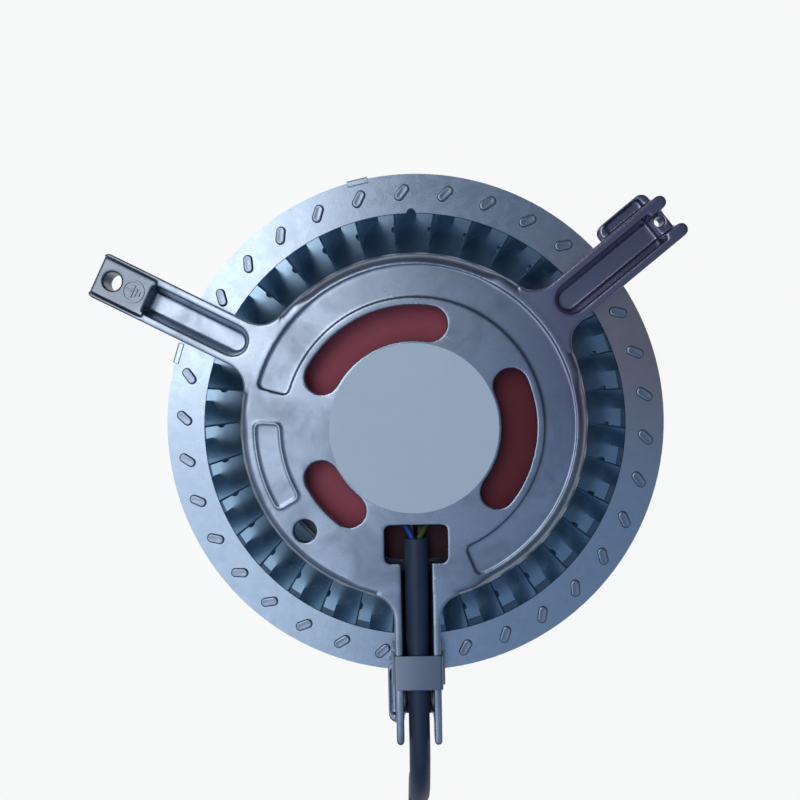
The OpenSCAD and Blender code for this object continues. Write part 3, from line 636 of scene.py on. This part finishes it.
# folded balance clips on the ring's edge
weightSpec = {"turns": (162.5, 103.0), "leaf": 0.6, "grip": 1.4, "lip": 1.2, "wide": 7.5, "rim": 90.0, "bend": 0.45}


def makeWeights(spec):
    verts, faces = [], []
    half = spec["leaf"] / 2
    top = ringTop / mm + half
    bottom = ringLow.z / mm - half
    rim = spec["rim"]
    path = [(rim - spec["grip"], top), (rim + half, top), (rim + half, bottom), (rim - spec["lip"], bottom)]
    for turn in spec["turns"]:
        place = Matrix.Scale(mm, 4) @ Matrix.Rotation(math.radians(turn), 4, "Z")
        loftLoops(bentStrip(path, spec["leaf"], spec["wide"], spec["bend"], place), verts, faces)
    weights = meshPiece("balanceWeights", verts, faces, galvanisedRing, "wheel")
    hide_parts("balance_clips")


makeWeights(weightSpec)

# spring clip over the ribs of the cable arm
clipSpec = {"turn": 271.3, "from": 80.3, "long": 12.5, "thick": 0.6, "half": 8.2, "foot": 1.2, "bend": 0.9}


def makeClip(spec):
    low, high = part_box("cable_clip")
    half = spec["half"] + spec["thick"] / 2
    top = high.z / mm - spec["thick"] / 2
    foot = low.z / mm + spec["thick"] / 2
    toe = half + spec["foot"]
    path = [(toe, foot), (half, foot), (half, top), (-half, top), (-half, foot), (-toe, foot)]
    across = Matrix(((0, 1, 0, 0), (1, 0, 0, 0), (0, 0, 1, 0), (0, 0, 0, 1)))
    middle = spec["from"] + spec["long"] / 2
    place = (Matrix.Scale(mm, 4) @ Matrix.Rotation(math.radians(spec["turn"]), 4, "Z")
             @ Matrix.Translation((middle, 0, 0)) @ across)
    verts, faces = [], []
    loftLoops(bentStrip(path, spec["thick"], spec["long"], spec["bend"], place), verts, faces)
    clip = meshPiece("cableClipBand", verts, faces, nickelSpring, "frame")
    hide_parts("cable_clip")


makeClip(clipSpec)
print("clips bent")

# cast spider with rounded edges, worked from its solid
castSpec = {
    "voxel": 0.36 * mm, "gridTurn": 12.5, "smooth": (0.5, 9), "keep": 0.25, "even": (0.4, 3), "sharp": 180.0,
    "arms": (154.0, 39.8, 271.3), "armClear": (19.0, 27.0), "rim": 61.4 * mm, "depth": 8.0 * mm, "fade": 0.5,
    "solid": (58.0 * mm, 3.0 * mm), "shoulder": (54.5 * mm, 7.0 * mm), "plainShoulder": (57.0 * mm, 4.6 * mm),
    "plainSector": (154.0, 271.3), "endTurn": 154.0, "endBend": 1.9 * mm}


def roundDrop(radius, start, bend):
    away = min(max(radius - start, 0.0), bend)
    return bend - math.sqrt(bend * bend - away * away)


def shapeShoulder(mesh, spec):
    near, far = spec["armClear"]
    plainFrom, plainTo = spec["plainSector"]
    for vertex in mesh.vertices:
        x, y, z = vertex.co
        radius = math.hypot(x, y)
        if radius < spec["shoulder"][0] or radius > spec["rim"] or z < plateTop - spec["depth"]:
            continue
        turn = math.degrees(math.atan2(y, x)) % 360
        away = min(abs((turn - arm + 180) % 360 - 180) for arm in spec["arms"])
        share = min(max((away - near) / (far - near), 0), 1)
        share *= share * (3 - 2 * share) * min(1, (z - plateTop + spec["depth"]) / (spec["fade"] * spec["depth"]))
        wanted = spec["plainShoulder"] if plainFrom < turn < plainTo else spec["shoulder"]
        vertex.co.z -= share * max(0, roundDrop(radius, *wanted) - roundDrop(radius, *spec["solid"]))


def roundEnd(mesh, spec):
    turn = Matrix.Rotation(math.radians(spec["endTurn"]), 3, "Z")
    back = turn.inverted()
    places = [back @ vertex.co for vertex in mesh.vertices]
    bend = spec["endBend"]
    far = max(place.x for place in places) - bend
    tip = [place.y for place in places if place.x > far]
    sides = ((min(tip) + bend, -1), (max(tip) - bend, 1))
    for vertex, place in zip(mesh.vertices, places):
        if place.x < far:
            continue
        for edge, way in sides:
            out = Vector((place.x - far, way * (place.y - edge)))
            if min(out) > 0 and out.length > bend:
                out *= bend / out.length
                vertex.co = turn @ Vector((far + out.x, edge + way * out.y, place.z))


def meshAfter(mesh, addModifiers):
    blank = bpy.data.objects.new("castingBlank", mesh)
    bpy.context.scene.collection.objects.link(blank)
    addModifiers(blank.modifiers)
    result = bpy.data.meshes.new_from_object(blank.evaluated_get(bpy.context.evaluated_depsgraph_get()))
    bpy.data.objects.remove(blank)
    bpy.data.meshes.remove(mesh)
    return result


def makeCasting(spec):
    def roundEdges(stack):
        grid = stack.new("grid", "REMESH")
        grid.mode = "VOXEL"
        grid.voxel_size = spec["voxel"]
        soft = stack.new("soft", "SMOOTH")
        soft.factor, soft.iterations = spec["smooth"]

    def thinOut(stack):
        stack.new("thin", "DECIMATE").ratio = spec["keep"]
        even = stack.new("even", "SMOOTH")
        even.factor, even.iterations = spec["even"]

    turn = Matrix.Rotation(math.radians(spec["gridTurn"]), 4, "Z")   # keeps the arms off the grid's own lines
    mesh = nodes["spider"].data.copy()
    mesh.transform(turn)
    mesh = meshAfter(mesh, roundEdges)
    mesh.transform(turn.inverted())
    shapeShoulder(mesh, spec)
    roundEnd(mesh, spec)
    mesh = meshAfter(mesh, thinOut)
    mesh.name = "spiderCasting"
    piece = finishMesh("spiderCasting", mesh, castAluminium, "frame", spec["sharp"])
    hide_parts("spider")
    print("casting:", len(mesh.polygons), "faces")


makeCasting(castSpec)

# earthing sign cast on the end pad: rim, stem and three bars
signSpec = {
    "turn": 154.0, "at": (108.6, 0.0), "sunk": 1.25, "radius": 4.0, "rim": 0.75, "high": 0.42, "points": 48,
    "slant": 0.1, "field": 0.08, "core": 0.02, "bar": 0.75, "bars": ((0.1, 4.6), (-1.1, 3.1), (-2.3, 1.6)),
    "stem": 2.7, "strokeRise": ((0.0, 0.0), (0.8, 0.04), (1.0, 0.12))}


def makeSign(spec):
    base = plateTop / mm - spec["sunk"]
    place = (Matrix.Scale(mm, 4) @ Matrix.Rotation(math.radians(spec["turn"]), 4, "Z")
             @ Matrix.Translation((*spec["at"], base)))
    verts, faces = [], []
    outer, inner, high = spec["radius"], spec["radius"] - spec["rim"], spec["high"]
    slant, field = spec["slant"], spec["field"]
    rings = ((outer + slant, 0), (outer, high), (inner, high), (inner - slant, field), (spec["core"], field))
    spokes = [k * 360 / spec["points"] for k in range(spec["points"])]
    loftLoops([[place @ polar(r, spoke, z) for spoke in spokes] for r, z in rings], verts, faces)
    strokes = [(u, spec["bar"], long) for u, long in spec["bars"]]
    strokes.append((spec["stem"] / 2, spec["stem"], spec["bar"]))
    for u, long, wide in strokes:
        loops = []
        for rise, inset in spec["strokeRise"]:
            x, y = long / 2 - inset, wide / 2 - inset
            corners = ((u - x, -y), (u + x, -y), (u + x, y), (u - x, y))
            loops.append([place @ Vector((cx, cy, high * rise)) for cx, cy in corners])
        loftLoops(loops, verts, faces)
    sign = meshPiece("earthSign", verts, faces, castAluminium, "frame")


makeSign(signSpec)
print("casting rounded")

paint("label", labelFilm)
paint("rotor_can", drawnCan)
for node in ("stator_core", "rotor_core"):
    paint(node, laminations)
for node in ("upper_insulation", "lower_insulation"):
    paint(node, brickInsulation)
for node in ("upper_bearing", "lower_bearing", "shaft"):
    paint(node, groundSteel)
for node in ("bearing_spacer", "bearing_retainer", "shaft_circlip", "wave_washer"):
    paint(node, bluedSteel)
paint("windings", enamelledWire)
paint("rotor_cage", castAluminium)
paint("thermal_protector", blackMoulding)
print("solids painted")

# floor, world and lamps
stageSpec = {
    "size": 4.0, "drop": 0.3 * mm, "floor": (0.84, 0.86, 0.88), "white": 0.92, "mirrored": 0.5,
    # painted shadow on the floor under the wheel, and the radii over which it fades out
    "under": (0.2, 0.28, 0.38), "paintedShadowReach": (94.5 * mm, 105.0 * mm), "plain": 0.97,
    "horizon": (0.045, 0.06, 0.095), "zenith": (0.108, 0.145, 0.215),
    "glow": (0.095, 0.115, 0.15), "glowFrom": (-0.55, 0.05, 0.83), "glowRange": (0.2, 1.0),
    "lowGlow": (0.042, 0.08, 0.145), "lowFrom": (0.12, -0.5, 0.86), "lowRange": (0.8, 1.0),
    "dim": (0.04, 0.05, 0.075), "dimFrom": (0.5, 0.86, 0.0), "dimRange": (0.1, 0.45), "dimShare": 0.6}
lampSpec = [
    {"name": "upperWindow", "place": (-0.5, 0.51, 1.25), "aim": (-0.5, 0.51, 0), "size": (0.70, 0.98),
     "power": 4.3, "tint": (0.94, 0.97, 1.0)},
    {"name": "lowerWindow", "place": (-0.65, -0.365, 1.25), "aim": (-0.65, -0.365, 0), "size": (1.1, 0.77),
     "power": 2.05, "tint": (0.88, 0.95, 1.0)},
    {"name": "rightFill", "place": (1.3, -0.5, 1.2), "aim": (0, 0, 0), "size": (1.2, 1.2),
     "power": 0.4, "tint": (0.85, 0.92, 1.0)}]


def makeFloor(spec):
    half = spec["size"] / 2
    corners = [(-half, -half, 0), (half, -half, 0), (half, half, 0), (-half, half, 0)]
    mesh = bpy.data.meshes.new("paleFloor")
    mesh.from_pydata(corners, [], [(0, 1, 2, 3)])
    floor = bpy.data.objects.new("paleFloor", mesh)
    floor.location.z = -spec["drop"]
    bpy.context.scene.collection.objects.link(floor)
    material = bpy.data.materials.new("paleFloor")
    material.use_nodes = True
    tree = material.node_tree
    tree.nodes.clear()
    output = tree.nodes.new("ShaderNodeOutputMaterial")
    paper = addNode(tree, "ShaderNodeBsdfDiffuse")
    white = addNode(tree, "ShaderNodeEmission", {"Color": (1, 1, 1, 1), "Strength": 1.0})
    rays = tree.nodes.new("ShaderNodeLightPath")
    mirrored = mathNode(tree, "MULTIPLY", rays.outputs["Is Glossy Ray"], spec["mirrored"])
    seen = mathNode(tree, "MAXIMUM", rays.outputs["Is Camera Ray"], mirrored)
    # painted shadow: under the wheel the floor takes a dark blue-grey tone and drops its white, fading out between
    # the two radii of the reach
    away = measure(tree, "DISTANCE", addNode(tree, "ShaderNodeNewGeometry").outputs["Position"], (0, 0, 0))
    outsidePaintedShadow = mapRange(tree, away, *spec["paintedShadowReach"])
    tree.links.new(mixColor(tree, outsidePaintedShadow, (*spec["under"], 1), (*spec["floor"], 1)), paper.inputs["Color"])
    share = mathNode(tree, "MULTIPLY", mathNode(tree, "MULTIPLY", seen, outsidePaintedShadow), spec["white"])
    mixShaders(tree, output, share, paper, white)
    mesh.materials.append(material)


def makeSky(spec):
    world = bpy.data.worlds.new("studioSky")
    world.use_nodes = True
    tree = world.node_tree
    tree.nodes.clear()
    output = tree.nodes.new("ShaderNodeOutputWorld")
    way = addNode(tree, "ShaderNodeTexCoord").outputs["Generated"]

    def toward(key, most=1.0):
        facing = measure(tree, "DOT_PRODUCT", way, spec[key + "From"])
        return mapRange(tree, facing, *spec[key + "Range"], 0.0, most)

    parts = tree.nodes.new("ShaderNodeSeparateXYZ")
    tree.links.new(way, parts.inputs[0])
    height = mapRange(tree, parts.outputs["Z"], 0.0, 1.0)
    tone = mixColor(tree, height, (*spec["horizon"], 1), (*spec["zenith"], 1))
    tone = mixColor(tree, toward("glow"), tone, (*spec["glow"], 1), "ADD")
    tone = mixColor(tree, toward("low"), tone, (*spec["lowGlow"], 1), "ADD")
    tone = mixColor(tree, toward("dim", spec["dimShare"]), tone, (*spec["dim"], 1))
    sky = addNode(tree, "ShaderNodeBackground", {"Strength": 1.0})
    tree.links.new(tone, sky.inputs["Color"])
    plain = addNode(tree, "ShaderNodeBackground", {"Color": (*[spec["plain"]] * 3, 1), "Strength": 1.0})
    rays = tree.nodes.new("ShaderNodeLightPath")
    mixShaders(tree, output, rays.outputs["Is Camera Ray"], sky, plain)
    bpy.context.scene.world = world


def makeLamp(spec):
    data = bpy.data.lights.new(spec["name"], "AREA")
    data.shape = "RECTANGLE"
    data.size, data.size_y = spec["size"]
    data.energy = spec["power"]
    data.color = spec["tint"]
    lamp = bpy.data.objects.new(spec["name"], data)
    lamp.location = spec["place"]
    lamp.rotation_mode = "QUATERNION"
    lamp.rotation_quaternion = (Vector(spec["aim"]) - Vector(spec["place"])).to_track_quat("-Z", "Y")
    bpy.context.scene.collection.objects.link(lamp)


makeFloor(stageSpec)
makeSky(stageSpec)
for lamp in lampSpec:
    makeLamp(lamp)
bpy.context.scene.view_settings.view_transform = "Standard"
print("stage lit")
